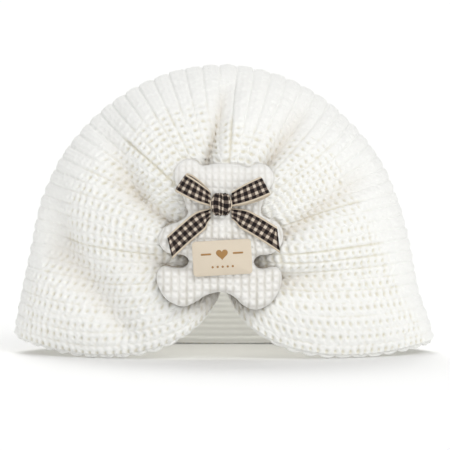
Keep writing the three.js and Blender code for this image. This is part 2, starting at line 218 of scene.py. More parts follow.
# one map for the distance to the bear's edge, one for how much the bear covers a place
MAP_LO, MAP_STEP = np.array([-42.0, 8.0]), 0.5
map_x, map_z = np.meshgrid(np.arange(168), np.arange(184))
places = MAP_LO + MAP_STEP * np.stack([map_x.ravel(), map_z.ravel()], 1)
EDGE_MAP = to_edge(places, bear_line).reshape(map_x.shape)
COVER_SPREAD = 3.0
kernel = np.exp(-(MAP_STEP * np.arange(-16, 17) / COVER_SPREAD)**2)
blur = lambda rows: np.stack([np.convolve(row, kernel / kernel.sum(), "same") for row in rows])
COVER_MAP = blur(blur((EDGE_MAP > 0).astype(float)).T).T


def read_map(values, x, z):
    u = np.clip((x - MAP_LO[0]) / MAP_STEP, 0, values.shape[1] - 1.001)
    v = np.clip((z - MAP_LO[1]) / MAP_STEP, 0, values.shape[0] - 1.001)
    i, j = u.astype(int), v.astype(int)
    s, t = u - i, v - j
    return ((values[j, i] * (1 - s) + values[j, i + 1] * s) * (1 - t)
            + (values[j + 1, i] * (1 - s) + values[j + 1, i + 1] * s) * t)


# %% [markdown]
# The knit is one long strip of rib. It is bunched at the middle of the front, so its ribs fan out from
# there, cross the outline and run round to the back. Each rib is laid as a smooth curve, and two numbers
# then name any place on the knit: which rib, and how far along it. Stitches are spaced by real length.

# %% The course of every rib
RIBS = 55
CROWDING, CROWN_TURN = 1.34, 1.3
GATHER_TOP, GATHER_NOTCH, GATHER_PULL, GATHER_SPREAD = 44.0, 36.0, 14.0, 19.0
RIBS_TOP = 60.0
SWEEP_ACROSS, SWEEP_DOWN, SWEEP_FROM, SWEEP_POWER = 26.0, 24.0, 0.3, 1.8
APPROACH_CROWN, APPROACH_HEM = 0.36, 0.455
BACK_TOP, BACK_PRESSED, BACK_BEND = 100.0, 1.5, 1.43
RISE_CROWN, RISE_HEM = 0.7, 0.35


def smooth(value, low, high):
    t = np.clip((value - low) / (high - low), 0, 1)
    return t * t * (3 - 2 * t)


def fading(value, lost, low, high):
    """1 below low, and 1 - lost above high."""
    return 1 - lost * smooth(value, low, high)


def bezier(points, t):
    a, b, c, d = (p[None] for p in points)
    t = t[..., None]
    return (1 - t)**3 * a + 3 * (1 - t)**2 * t * b + 3 * (1 - t) * t**2 * c + t**3 * d


def courses(across):
    """The front and back courses of ribs. across is -1 at the left hem and 1 at the right."""
    share = np.abs(across)
    widest = np.where(across < 0, abs(OUTLINE[0, 0]), OUTLINE[-1, 0])
    spread = CROWDING * share + (1 - CROWDING) * share**2
    angle = widest * np.sign(across) * spread + CROWN_TURN * (1 - share**2)
    radius = on_outline(angle, RADIUS)
    turned = np.radians(angle)
    rim = np.stack([np.sin(turned) * radius, DOME_CENTRE + np.cos(turned) * radius], -1)
    lean = np.radians(on_outline(angle, LEAN))

    start = np.stack([0 * share, RIBS_TOP + (GATHER_NOTCH - RIBS_TOP) * share**2], -1)
    hanging = np.maximum(0, (share - SWEEP_FROM) / (1 - SWEEP_FROM))**SWEEP_POWER
    inner = start + (rim - start) / 3
    inner[:, 0] -= np.sign(across) * SWEEP_ACROSS * hanging
    inner[:, 1] -= SWEEP_DOWN * hanging
    approach = APPROACH_CROWN + (APPROACH_HEM - APPROACH_CROWN) * hanging
    reach = np.linalg.norm(rim - start, axis=1) * approach
    outer = rim - reach[:, None] * np.stack([np.sin(lean), np.cos(lean)], -1)
    front = (start, inner, outer, rim)

    height = BACK_TOP - (BACK_TOP + BACK_PRESSED) * share**BACK_BEND
    rise = RISE_CROWN + (RISE_HEM - RISE_CROWN) * share**4
    inner = np.stack([rim[:, 0] * 0.33, height], -1)
    outer = np.stack([rim[:, 0] * 0.62, height + (rim[:, 1] - height) * rise], -1)
    back = (np.stack([0 * height, height], -1), inner, outer, rim)
    return front, back


def to_segment(x, z, x1, z1, x2, z2):
    share = ((x - x1) * (x2 - x1) + (z - z1) * (z2 - z1)) / ((x2 - x1)**2 + (z2 - z1)**2)
    t = np.clip(share, 0, 1)
    return t, np.hypot(x - x1 - (x2 - x1) * t, z - z1 - (z2 - z1) * t)


# %% [markdown]
# Where the bear is sewn on, the knit is bunched, and its spare width stands up in folds round the bear.
# A cloth simulation would choose its own folds. Tables put each one where it lies on the real hat.

# %% Folds, creases and valleys
# seven broad folds: near end by the bear, x and z, far end, depths, and widths left and right of the line
FOLDS = {
    "crown": (-8, 86, 1, 118, 8, 3.5, 4, 7),
    "right brow": (20.5, 86, 35, 107, 7, 3.5, 7, 7),
    "left waist": (-25, 61, -48, 77, 4, 3, 7, 10),
    "left brow": (-38, 72, -56, 106, 4.5, 3, 8, 11),
    "right temple": (28.6, 53, 60, 77, 4.2, 3.5, 12, 6),
    "left cheek": (-45, 14, -84, 60, 5, 9.5, 11, 14),
    "right cheek": (27, 35.5, 56, 37, 7, 2, 7, 13),
}
# soft creases that stand up beside four of them: near end, far end, height and width
CREASES = {
    "crown": (1, 88, 8.5, 116, 1.4, 3.4),
    "left brow": (-24, 84, -38, 112, 1.6, 9),
    "left waist": (-31, 55, -60, 68, 2.0, 6),
    "right temple": (31, 50.0, 62, 60, 1.6, 4.5),
}
# narrow bottoms of the sharpest valleys and of the slot under the left arm: ends, depth and width
VALLEYS = {
    "crown": (-7.5, 88, -1, 112, 0.3, 1.6),
    "right brow": (20, 87, 30, 101, 0.5, 2.6),
    "left waist": (-26, 61, -44, 74, 1.5, 2.5),
    "left arm": (-27, 42, -39, 44, 2.6, 3.2),
    "right temple": (27, 55, 54, 75, 1.1, 2.4),
}
CREASE_LOST, VALLEY_LOST = 0.7, 0.6  # at the far end
# stitches draw the knit in along the bear's edge, less by its head and to the right, and the hem rolls in
SEWN_IN, SEWN_WIDE = 1.4, 1.7
SEWN_FADES_UP, SEWN_FADES_RIGHT = (0.7, 58, 76), (0.35, 5, 20)
HEM_ROLL, HEM_ROLL_RIBS = 2.6, 1.6


# %% How far the front is drawn in
def valley_share(x, z, line, wide):
    t, distance = to_segment(x, z, *line)
    return (1 - VALLEY_LOST * t) * np.exp(-(distance / (wide * (1 + t)))**2)


def in_valleys(x, z, wider=1, depth=None):
    """All valley bottoms at a place, with their own depths or one depth for all."""
    return sum((depth or deep) * valley_share(x, z, line, wider * wide)
               for *line, deep, wide in VALLEYS.values())


def drawn_in(x, y, z):
    """How far the gather, the folds and the bear's seam draw the front in."""
    near = to_segment(x, z, 0, GATHER_NOTCH, 0, GATHER_TOP)[1] / GATHER_SPREAD
    depth = 0
    for x1, z1, x2, z2, near_depth, far_depth, left, right in FOLDS.values():
        t, distance = to_segment(x, z, x1, z1, x2, z2)
        aside = ((x2 - x1) * (z - z1) - (z2 - z1) * (x - x1)) / math.hypot(x2 - x1, z2 - z1)
        wide = ((left + right) + (left - right) * aside / np.maximum(distance, 1e-6)) / 4 * (1 + t)
        depth = depth + (near_depth + (far_depth - near_depth) * t) * np.exp(-(distance / wide)**2)
    for x1, z1, x2, z2, high, wide in CREASES.values():
        t, distance = to_segment(x, z, x1, z1, x2, z2)
        depth = depth - high * (1 - CREASE_LOST * t) * np.exp(-(distance / wide)**2)
    depth = depth + in_valleys(x, z)
    eased = fading(z, *SEWN_FADES_UP) * fading(x, *SEWN_FADES_RIGHT)
    seam = SEWN_IN * np.exp(-(read_map(EDGE_MAP, x, z) / SEWN_WIDE)**2) * eased
    return GATHER_PULL * np.exp(-near * near) + (depth + seam) * smooth(-y, 0, 20)


# %% The ground of the knit
def knit_base(ends, along, facing):
    """Places on the knit's ground, where along is 0 on the outline and 1 at the ribs' ends."""
    course = bezier(ends, np.cos(math.pi / 2 * along))
    x, z = course[..., 0], np.maximum(course[..., 1], 0)
    y, outward = dome(x, z, facing)
    place = np.stack([x, y, z], -1)
    if facing < 0:
        place = place - outward * drawn_in(x, y, z)[..., None]
    return place, outward


def even_rows(ends, facing, rows):
    """Rows at equal lengths along each rib, from the outline to its end, and those lengths."""
    trial = np.linspace(0, 1, 161)[:, None] * np.ones(len(ends[0]))
    place, _ = knit_base(ends, trial, facing)
    step = np.linalg.norm(np.diff(place, axis=0), axis=-1)
    length = np.vstack([0 * step[:1], np.cumsum(step, 0)])
    wanted = np.linspace(0, 1, rows + 1)[:, None] * length[-1]
    along = np.stack([np.interp(wanted[:, k], length[:, k], trial[:, k])
                      for k in range(wanted.shape[1])], 1)
    place, outward = knit_base(ends, along, facing)
    return place, outward, wanted


def knit_grid(across, front_rows, back_rows):
    """The whole knit's ground: rows from the gather over the outline to the middle of the back."""
    front, back = courses(across)
    f_place, f_out, f_length = even_rows(front, -1, front_rows)
    b_place, b_out, b_length = even_rows(back, 1, back_rows)
    from_hem = (1 - np.abs(across)) * RIBS / 2
    roll = HEM_ROLL * np.exp(-(from_hem / HEM_ROLL_RIBS)**2) * smooth(np.abs(f_length), 8, 40)
    f_place = f_place - f_out * roll[..., None]
    join = lambda f, b: np.concatenate([f[::-1], b[1:]])
    return join(f_place, b_place), join(f_out, b_out), join(-f_length, b_length)


# %% Where the solid model stands
# The solid tag's middle shows how the solid model was shifted to its origin.
PAD_CLEARANCE = 1.76
BEAR_THICKNESS = 6.0
REST_GAP = 0.3  # between the bear and what rests on it
TAG = dict(x=-0.6, z=45.3, width=25.8, height=15.3, thickness=1.2, corner=1.6, tilt=3.3)


def pad_depth(x, z, lifted):
    return dome(np.asarray(x, float), np.asarray(z, float), -1)[0] - PAD_CLEARANCE - lifted


tag_lo, tag_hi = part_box("tag")
tag_y = float(pad_depth(TAG["x"], TAG["z"] - TAG["height"] / 2, BEAR_THICKNESS + REST_GAP))
tag_y -= TAG["thickness"] / 2
SHIFT = 500 * np.array(tag_lo + tag_hi) - np.array([TAG["x"], tag_y, TAG["z"]])
print("shift to the solid model's origin, mm:", SHIFT.round(3))


def to_frame(points):
    return (np.asarray(points, float) + SHIFT) / 1000


# %% [markdown]
# Each rib is a row of open stitches: two smooth rails with a groove on either side, and between them a
# ladder of slanting rungs with a small hole under each. Near the outline the ribs lie side on and the
# holes close up. Real loops of yarn for some three thousand stitches would be far too heavy, and a bump
# map would leave the outline smooth. So the stitches are a height over a fine grid, and are true mesh.

# %% Stitches as a height over the ground
STITCH = 3.65
RIB_ROUND, RIB_HEIGHT = 0.35, 1.3
HOLE_DEPTH, HOLE_ALONG, HOLE_ACROSS = 0.85, 0.86, 1.0
ACROSS_RIB = np.array([0, .05, .11, .19, .27, .35, .42, .5, .58, .65, .73, .81, .89, .95])
FRONT_ROWS, BACK_ROWS = 280, 165
# every rib has its own phase, slant and offset, and its own groove, seven of which show strongly in front
random = np.random.default_rng(7)
RIB_PHASE = np.cumsum(random.normal(0.07, 0.06, RIBS + 1))
RIB_LEAN = random.normal(0.04, 0.08, RIBS + 1)
GROOVE_SHOWS = np.clip(random.normal(0.3, 0.2, RIBS + 1), 0.05, 0.7)
GROOVE_SHOWS[[9, 19, 28, 42, 46, 47, 48]] = (0.7, 0.9, 0.9, 0.7, 0.8, 0.75, 0.6)
RIB_OFF = random.normal(0, 0.05, RIBS + 1)

# degrees from straight up, how far in from the outline the holes open, and the grooves' depth there
OPENING = np.array([
    (-113, 9, 0.25), (-100, 13, 0.3), (-85, 22, 0.35), (-60, 27, 0.4), (-30, 31, 0.6), (-8, 33, 0.7),
    (3, 38, 0.7), (12, 47, 0.7), (25, 36, 0.65), (45, 30, 0.55), (80, 32, 0.4), (100, 22, 0.35),
    (114, 12, 0.25),
])
NOISE = random.normal(0, 1, (64, 64))


def soft_noise(a, b):
    """Smooth noise of about unit size, over two coordinates whose step is one cell."""
    i, j = np.floor(a).astype(int), np.floor(b).astype(int)
    s, t = smooth(a - i, 0, 1), smooth(b - j, 0, 1)
    pick = lambda p, q: NOISE[p % 64, q % 64]
    return (pick(i, j) * (1 - s) * (1 - t) + pick(i + 1, j) * s * (1 - t)
            + pick(i, j + 1) * (1 - s) * t + pick(i + 1, j + 1) * s * t)


def stitch_height(rib, length, rib_width, angle, pressed):
    """The knit's height over its ground, for a place among the ribs and a length from the outline."""
    number = np.clip(np.floor(rib + 1e-9).astype(int), 0, RIBS)
    v = rib - number
    to_groove = np.minimum(v, 1 - v) * rib_width
    far = np.abs(length)
    opening = np.interp(angle, OPENING[:, 0], OPENING[:, 1]) * np.where(length > 0, 0.45, 1)
    open_share = smooth(far, opening - 5, opening + 5) * smooth(rib_width, 1.3, 3.0)
    groove = np.interp(angle, OPENING[:, 0], OPENING[:, 2])
    shows = np.where(length > 0, 0.3, GROOVE_SHOWS[np.round(rib).astype(int)])
    groove = groove + (shows**2 - groove) * open_share
    body = RIB_HEIGHT - RIB_ROUND * np.abs(2 * v - 1)**3 - groove * np.exp(-(to_groove / 0.7)**2)

    u = far / STITCH + RIB_PHASE[number] + 0.1 * soft_noise(rib * 0.5, far / 9)
    stitch = np.floor(u)
    u = u - stitch
    middle = (v - 0.5 - RIB_OFF[number]) * rib_width
    size = 1 + 0.14 * soft_noise(number + 20.0, stitch + 0.5) + 0.1 * soft_noise(rib / 5, far / 25)
    across_size = np.minimum(HOLE_ACROSS * size, 0.3 * rib_width)
    aside = (u - 0.5) * STITCH - RIB_LEAN[number] * middle - 0.1 * np.abs(middle)
    # a hole with a ring round it, the rungs between holes, and the rails beside them
    hole = np.exp(-(middle / across_size)**2 - (aside / (HOLE_ALONG * size))**2)
    ring = np.exp(-((np.hypot(middle / across_size, aside / (HOLE_ALONG * size)) - 1.75) / 0.5)**2)
    between = np.cos(2 * math.pi * (u - 0.1 * middle))
    rail = np.exp(-((np.abs(middle) / rib_width - 0.33) / 0.1)**2)
    legs = np.cos(2 * math.pi * (u + 0.4 * np.abs(v - 0.5)))
    plump = (0.12 * soft_noise(rib * 3.0 + 7, far / 1.5 + 31)
             + 0.1 * soft_noise(rib * 5.0 + 3, far / 0.9 + 11))
    strands = 0.11 * np.cos(2 * math.pi * (2.5 + 0.5 * np.sin(3.0 * number)) * (v - 0.5))
    raised = 0.12 * ring + 0.2 * between * np.exp(-(middle / 1.1)**2) + 0.3 * legs * rail
    height = body + plump + open_share * (raised - HOLE_DEPTH * hole)
    height += (1 - open_share) * strands * smooth(to_groove, 0, 0.8)
    relief = smooth(rib_width, 0.6, 2.4) * (1 - 0.45 * pressed)
    height = RIB_HEIGHT - 0.4 + (np.maximum(height, -0.15) - RIB_HEIGHT + 0.4) * relief
    # and a painted shade, stronger the lower the knit lies where its holes are open
    return height, smooth(RIB_HEIGHT - height, 0.1, 1.1) * open_share


# %% [markdown]
# The hat is cut along its grooves into four pieces, so that no piece of mesh is too heavy. Each is a
# closed body: the stitches outside, a coarser lining inside, and a rim between them all round.

# %% Mesh helpers
def link_piece(name, mesh, material, node=None):
    piece = put(name, mesh)
    mesh.materials.append(material)
    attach(piece, "root")
    if node:
        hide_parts(node)
    return piece


def mesh_from(name, points, faces, **attributes):
    """A smooth mesh from places in mm and lists of equal faces, with values kept per vertex."""
    mesh = bpy.data.meshes.new(name)
    mesh.vertices.add(len(points))
    mesh.vertices.foreach_set("co", to_frame(points).ravel())
    faces = [np.asarray(f) for f in faces if len(f)]
    corners = np.concatenate([f.ravel() for f in faces])
    sizes = np.concatenate([np.full(len(f), f.shape[1]) for f in faces])
    mesh.loops.add(len(corners))
    mesh.loops.foreach_set("vertex_index", corners.astype(np.int32))
    mesh.polygons.add(len(sizes))
    mesh.polygons.foreach_set("loop_start", (np.cumsum(sizes) - sizes).astype(np.int32))
    mesh.update(calc_edges=True)
    mesh.shade_smooth()
    for key, value in attributes.items():
        kept = mesh.attributes.new(key, "FLOAT", "POINT").data
        kept.foreach_set("value", np.asarray(value, np.float32).ravel())
    return mesh


def grid_faces(rows, columns, first=0):
    """Quads over a grid of vertices, numbered row by row."""
    corner = first + np.arange((rows - 1) * columns).reshape(rows - 1, columns)[:, :-1].ravel()
    return np.stack([corner, corner + 1, corner + columns + 1, corner + columns], -1)


def lace(edge_a, edge_b, place_a, place_b):
    """Triangles between two edges, each given by its vertices and their places from 0 to 1."""
    faces = []
    i = j = 0
    while i + 1 < len(edge_a) or j + 1 < len(edge_b):
        step_a = j + 1 >= len(edge_b) or (i + 1 < len(edge_a) and place_a[i + 1] <= place_b[j + 1])
        if step_a:
            faces.append((edge_a[i], edge_a[i + 1], edge_b[j]))
            i += 1
        else:
            faces.append((edge_a[i], edge_b[j + 1], edge_b[j]))
            j += 1
    return faces


def ring_faces(rows, around):
    """Vertex numbers of rings, each closed by its first, and the quads between them."""
    index = np.arange(rows * around).reshape(rows, around)
    index = np.concatenate([index, index[:, :1]], axis=1)
    quads = np.stack([index[:-1, :-1], index[:-1, 1:], index[1:, 1:], index[1:, :-1]], -1)
    return index, quads.reshape(-1, 4)


def tube(name, rings, **attributes):
    """A closed body through a row of rings, with its ends drawn to their middles."""
    rows, around = rings.shape[:2]
    points = np.vstack([rings.reshape(-1, 3), rings[0].mean(0), rings[-1].mean(0)])
    index, quads = ring_faces(rows, around)
    first, last = rows * around, rows * around + 1
    ends = np.vstack([[(first, index[0, k + 1], index[0, k]) for k in range(around)],
                      [(last, index[-1, k], index[-1, k + 1]) for k in range(around)]])
    corners = points[quads]
    turned = np.cross(corners[:, 1] - corners[:, 0], corners[:, 2] - corners[:, 0])
    if (turned * (corners[:, 0] - points.mean(0))).sum() < 0:
        quads, ends = quads[:, ::-1], ends[:, ::-1]
    ended = {key: np.append(value.ravel(), [value[0].mean(), value[-1].mean()])
             for key, value in attributes.items()}
    return mesh_from(name, points, [quads, ends], **ended)


# %% The whole knit in fine columns
# How much warm, darker shade is painted on the yarn where it lies deep: in folds, in valleys and most of
# all behind the bear.
HEM_INSET = 0.45
FOLD_SHADE, VALLEY_SHADE, COVER_SHADE, COVER_SHARPNESS = 0.15, 0.17, 0.55, 1.4
VALLEY_SHADE_WIDER, SHADE_FADES_UP = 1.3, (0.6, 66, 82)
outer_ribs = np.concatenate([k + ACROSS_RIB for k in range(RIBS)] + [[RIBS]])
outer_ribs = outer_ribs[(outer_ribs >= HEM_INSET - 0.04) & (outer_ribs <= RIBS - HEM_INSET + 0.04)]
outer_ribs[0], outer_ribs[-1] = HEM_INSET, RIBS - HEM_INSET
ground, outward, length = knit_grid(2 * outer_ribs / RIBS - 1, FRONT_ROWS, BACK_ROWS)


def stay_on_floor(places):
    places[..., 2] = np.maximum(places[..., 2], 0.1)
    return places


def grid_normals(place, out):
    normal = np.cross(np.gradient(place, axis=0), np.gradient(place, axis=1))
    size = np.linalg.norm(normal, axis=-1, keepdims=True)
    normal = np.where(size > 1e-9, normal / np.maximum(size, 1e-9), out)
    return normal * np.sign((normal * out).sum(-1, keepdims=True) + 1e-12)


x, y, z = np.moveaxis(ground, -1, 0)
ground_normal = grid_normals(ground, outward)
rib_width = np.linalg.norm(np.gradient(ground, axis=1), axis=-1) / np.gradient(outer_ribs)
angle = np.degrees(np.arctan2(x[FRONT_ROWS], z[FRONT_ROWS] - DOME_CENTRE))
cover = np.where(y < 0, smooth(read_map(COVER_MAP, x, z), 0.2, 0.8), 0)
in_fold = smooth(drawn_in(x, y, z), 1.5, 8) * (y < 0)
pressed = np.maximum(smooth(cover, 0.1, 0.5), 0.5 * in_fold)
height, hole = stitch_height(outer_ribs + 0 * length, length, rib_width, angle + 0 * length, pressed)
sunk = smooth(np.arange(FRONT_ROWS + BACK_ROWS + 1), 0, 28)[:, None]
outer = ground + ground_normal * (height * sunk)[..., None]
stay_on_floor(outer)
outer_normal = grid_normals(outer, outward)
# painted shade: warm and darker in folds, in valley bottoms and round and behind the bear, fainter up by
# its head
tucked_shade = (FOLD_SHADE * in_fold + VALLEY_SHADE * in_valleys(x, z, VALLEY_SHADE_WIDER, 1) * (y < 0)
          + COVER_SHADE * cover**COVER_SHARPNESS * fading(z, *SHADE_FADES_UP))
for what, values in (("rib width on the outline, mm:", rib_width[FRONT_ROWS]),
                     ("stitches along a rib in front:", np.abs(length[0]) / STITCH)):
    print(what, values.min().round(2), "to", values.max().round(2))

# %% The lining and the rounded hem
LINING_STEPS_ACROSS = 2
LAST_ROW = FRONT_ROWS + BACK_ROWS
LINING_ROWS = np.unique(np.concatenate([np.arange(0, FRONT_ROWS, 9), np.arange(FRONT_ROWS, LAST_ROW, 6),
                                        [LAST_ROW]]))
LIP_TURNS = np.radians([36, 72, 108, 144])
LIP_REACH = 0.8


def lining_grid(columns):
    """The inside of the knit behind some columns, with one shallow line for each half rib."""
    rows = LINING_ROWS[:, None]
    place = ground[rows, columns] - outward[rows, columns] * WALL
    lines = 0.35 * np.cos(4 * math.pi * outer_ribs[columns])
    place = place + outward[rows, columns] * lines[None, :, None]
    return stay_on_floor(place)


def hem_frame(column, towards_hem):
    """The knit's edge: its middle, half its thickness, and the ways out of its face and edge."""
    edge_out = outer[:, column]
    edge_in = ground[:, column] - outward[:, column] * WALL
    centre, half = (edge_out + edge_in) / 2, np.linalg.norm(edge_out - edge_in, axis=1)[:, None] / 2
    up = (edge_out - edge_in) / (2 * half)
    side = ground[:, column] - ground[:, column - towards_hem * 3]
    side = side - up * (side * up).sum(1, keepdims=True)
    side = side / np.maximum(np.linalg.norm(side, axis=1, keepdims=True), 1e-6)
    return centre, half, up, side


def hem_lip(column, towards_hem):
    """Columns that round the knit's edge off, from the stitches outside to the lining inside."""
    centre, half, up, side = hem_frame(column, towards_hem)
    turns = LIP_TURNS[:, None, None]
    lip = centre + up * half * np.cos(turns) + side * LIP_REACH * np.sin(turns)
    return stay_on_floor(lip).transpose(1, 0, 2)


# %% Closed pieces of knit
def knit_piece(name, first_rib, last_rib):
    """A closed body of knit between two grooves, or between a groove and the hem."""
    tolerance = 1e-6
    columns = np.flatnonzero((outer_ribs >= first_rib - tolerance)
                             & (outer_ribs <= last_rib + tolerance))
    left_hem, right_hem = columns[0] == 0, columns[-1] == len(outer_ribs) - 1
    sheet = [outer[:, columns]]
    if left_hem:
        sheet.insert(0, hem_lip(0, -1)[:, ::-1])
    if right_hem:
        sheet.append(hem_lip(len(outer_ribs) - 1, 1))
    skin = np.concatenate(sheet, axis=1)
    before = len(LIP_TURNS) if left_hem else 0
    rows, width = skin.shape[:2]
    kept_columns = np.clip(np.arange(width) - before + columns[0], columns[0], columns[-1])

    inner_columns = np.unique(np.append(columns[::LINING_STEPS_ACROSS], columns[-1]))
    lining = lining_grid(inner_columns)
    lining_normal = grid_normals(lining, -outward[LINING_ROWS[:, None], inner_columns])
    base = rows * width
    vertex_out = np.arange(base).reshape(rows, width)
    vertex_in = base + np.arange(lining.shape[0] * lining.shape[1]).reshape(lining.shape[:2])
    quads = [grid_faces(rows, width), grid_faces(*lining.shape[:2], first=base)[:, ::-1]]

    row_share, row_share_in = np.arange(rows) / (rows - 1), LINING_ROWS / (rows - 1)
    spread = lambda ribs: (ribs - ribs[0]) / (ribs[-1] - ribs[0])
    share = spread(np.interp(np.arange(width), np.arange(before, before + len(columns)),
                             outer_ribs[columns]))
    share_in = spread(outer_ribs[inner_columns])
    turned = lambda triangles: [f[::-1] for f in triangles]
    rim = [lace(vertex_out[:, 0], vertex_in[:, 0], row_share, row_share_in),
           turned(lace(vertex_out[:, -1], vertex_in[:, -1], row_share, row_share_in)),
           turned(lace(vertex_out[0], vertex_in[0], share, share_in)),
           lace(vertex_out[-1], vertex_in[-1], share, share_in)]
    triangles = np.array(sum(rim, []))

    points = np.concatenate([skin.reshape(-1, 3), lining.reshape(-1, 3)])
    # the painted shades of the holes and of deep places, kept at each vertex
    values = {key: np.append(value[:, kept_columns], np.zeros(len(points) - base))
              for key, value in (("hole", hole), ("tucked_shade", tucked_shade))}
    mesh = mesh_from(name, points, quads + [triangles], **values)
    own = np.empty(len(points) * 3)
    mesh.vertex_normals.foreach_get("vector", own)
    own = own.reshape(-1, 3)
    kept = own[:base].reshape(rows, width, 3)
    kept[:, before:before + len(columns)] = outer_normal[:, columns]
    own[base:] = lining_normal.reshape(-1, 3)
    mesh.normals_split_custom_set_from_vertices([tuple(n) for n in own])
    print(name, "triangles:", 2 * sum(len(q) for q in quads) + len(triangles))
    return mesh


knit_meshes = {
    name: knit_piece(name, first, last)
    for name, first, last in (("knit_ribs_left_low", 0, 14), ("knit_ribs_left_high", 14, 27),
                              ("knit_ribs_right_high", 27, 41), ("knit_ribs_right_low", 41, RIBS))}

# %% [markdown]
# The yarn is a soft off-white wool and acrylic blend, spun and plied, with short fibres that stand off it.
# A diffuse base with a little sheen gives that softness. The fibres themselves are a fine, uneven bump.
# The holes get a creamier grey painted shade, and places that lie deep get a warmer painted shade still.

# %% Material helpers
def linear(hex_colour):
    """An sRGB hex colour as the linear values that shaders use."""
    parts = [int(hex_colour[i:i + 2], 16) / 255 for i in (1, 3, 5)]
    return tuple(p / 12.92 if p <= 0.04045 else ((p + 0.055) / 1.055)**2.4 for p in parts) + (1.0,)


def new_material(name, **settings):
    """A material with its surface shader, whose sockets are set by name."""
    material = bpy.data.materials.new(name)
    material.use_nodes = True
    shader = material.node_tree.nodes["Principled BSDF"]
    for socket, value in settings.items():
        shader.inputs[socket.replace("_", " ")].default_value = value
    return material, material.node_tree, shader


def node(tree, kind, links=None, **settings):
    """Adds a node, sets its properties or numbered sockets, and links outputs into it."""
    made = tree.nodes.new("ShaderNode" + kind)
    for name, value in settings.items():
        if hasattr(made, name):
            setattr(made, name, value)
        else:
            made.inputs[int(name[1:])].default_value = value
    for socket, output in (links or {}).items():
        tree.links.new(output, made.inputs[socket])
    return made


def blend(tree, factor, first, second):
    """A mix of two colours. The first is a hex colour or a node's output."""
    links, settings = {0: factor}, {"_7": linear(second)}
    if isinstance(first, str):
        settings["_6"] = linear(first)
    else:
        links[6] = first
    return node(tree, "Mix", links, data_type="RGBA", **settings).outputs[2]


def give_surface(tree, shader, colour, relief, strength, distance):
    """Joins a colour and a bump to the surface shader."""
    tree.links.new(colour, shader.inputs["Base Color"])
    bump = node(tree, "Bump", {"Height": relief}, _0=strength, _1=distance)
    tree.links.new(bump.outputs["Normal"], shader.inputs["Normal"])


# %% Yarn
knit_yarn, tree, shader = new_material("spun_wool_blend_knit", Roughness=0.92, Specular_IOR_Level=0.25,
                                       Sheen_Weight=0.35, Sheen_Roughness=0.5)

def kept_value(tree, name):
    """A value that the mesh keeps at each vertex."""
    return node(tree, "Attribute", attribute_name=name).outputs["Fac"]


# painted shade: the holes greyer and creamier, and deep places and the knit round the bear warm brown
hole_shade = blend(tree, kept_value(tree, "hole"), "#fafaf7", "#e6e2d3")
shaded_yarn = blend(tree, kept_value(tree, "tucked_shade"), hole_shade, "#b39a74")
fibre = node(tree, "TexNoise", _2=900.0, _3=3.0)
give_surface(tree, shader, shaded_yarn, fibre.outputs["Fac"], 0.35, 0.0004)

for name, mesh in knit_meshes.items():
    link_piece(name, mesh, knit_yarn, node="knit_shell")
print("knit pieces:", len(knit_meshes))

# %% [markdown]
# The bear is two layers of waffle cloth, sewn round, turned and stuffed with wadding. Its ears and its
# waffle are too fine for the coarse mesh of a cloth simulation. So its puffed form is worked out directly:
# its round edge follows from how far each place is from the outline. The waffle's channels are then
# pressed in where its threads pull tight, and its back follows the gathered knit that it is sewn to.

# %% The padded bear
def fill_outline(line, step_x, step_z, margin):
    """Triangles that fill a closed line over a grid. The line's own places come first."""
    lo, hi = line.min(0), line.max(0)
    x, z = np.meshgrid(np.arange(lo[0], hi[0], step_x), np.arange(lo[1], hi[1], step_z))
    grid = np.stack([x.ravel(), z.ravel()], 1)
    grid = grid[to_edge(grid, line) > margin]
    places = np.vstack([line, grid])
    n = len(line)
    flat, _, faces, *_ = delaunay_2d_cdt([Vector(p) for p in places.tolist()],
                                         [(i, (i + 1) % n) for i in range(n)], [list(range(n))], 1, 1e-7)
    return np.array([tuple(v) for v in flat]), np.array(faces)


# %% The bear's form
PAD_EDGE = 0.15
EDGE_ROUND = 3.1
PITCH, PITCH_GROWS, LEVEL_PITCH = 2.9, 0.5, 3.2  # mm between channels, wider apart towards the legs
CHANNEL_DEPTH, CHANNEL_WIDTH = 0.9, 0.72
LEVEL_DEPTH, LEVEL_SHADE = 0.85, 0.65  # of level channels, beside the upright ones
WAFFLE_FADES_UP = (0.45, 68, 82)
FOLLOWS_OUT, FOLLOWS_IN, SHARE_IN = 3, 5, 0.8


def waffle(x, z):
    """How far a place is in one of the waffle's channels, for the upright and then the level ones."""
    pitch = PITCH + PITCH_GROWS * smooth(-z, -62, -40)
    upright = np.abs((x / pitch + 0.25) % 1 - 0.5) * pitch
    level = np.abs((z / LEVEL_PITCH + 0.1 * np.sin(x / 5)) % 1 - 0.5) * LEVEL_PITCH
    return np.exp(-(upright / CHANNEL_WIDTH)**2), np.exp(-(level / CHANNEL_WIDTH)**2)


def sunk_with_knit(places):
    """How far the bear's back follows the knit, in where it is drawn in and out over its creases."""
    x, z = places[:, 0], places[:, 1]
    depth = drawn_in(x, pad_depth(x, z, 0), z)
    return np.clip(depth, -FOLLOWS_OUT, 0) + SHARE_IN * np.clip(depth, 0, FOLLOWS_IN)


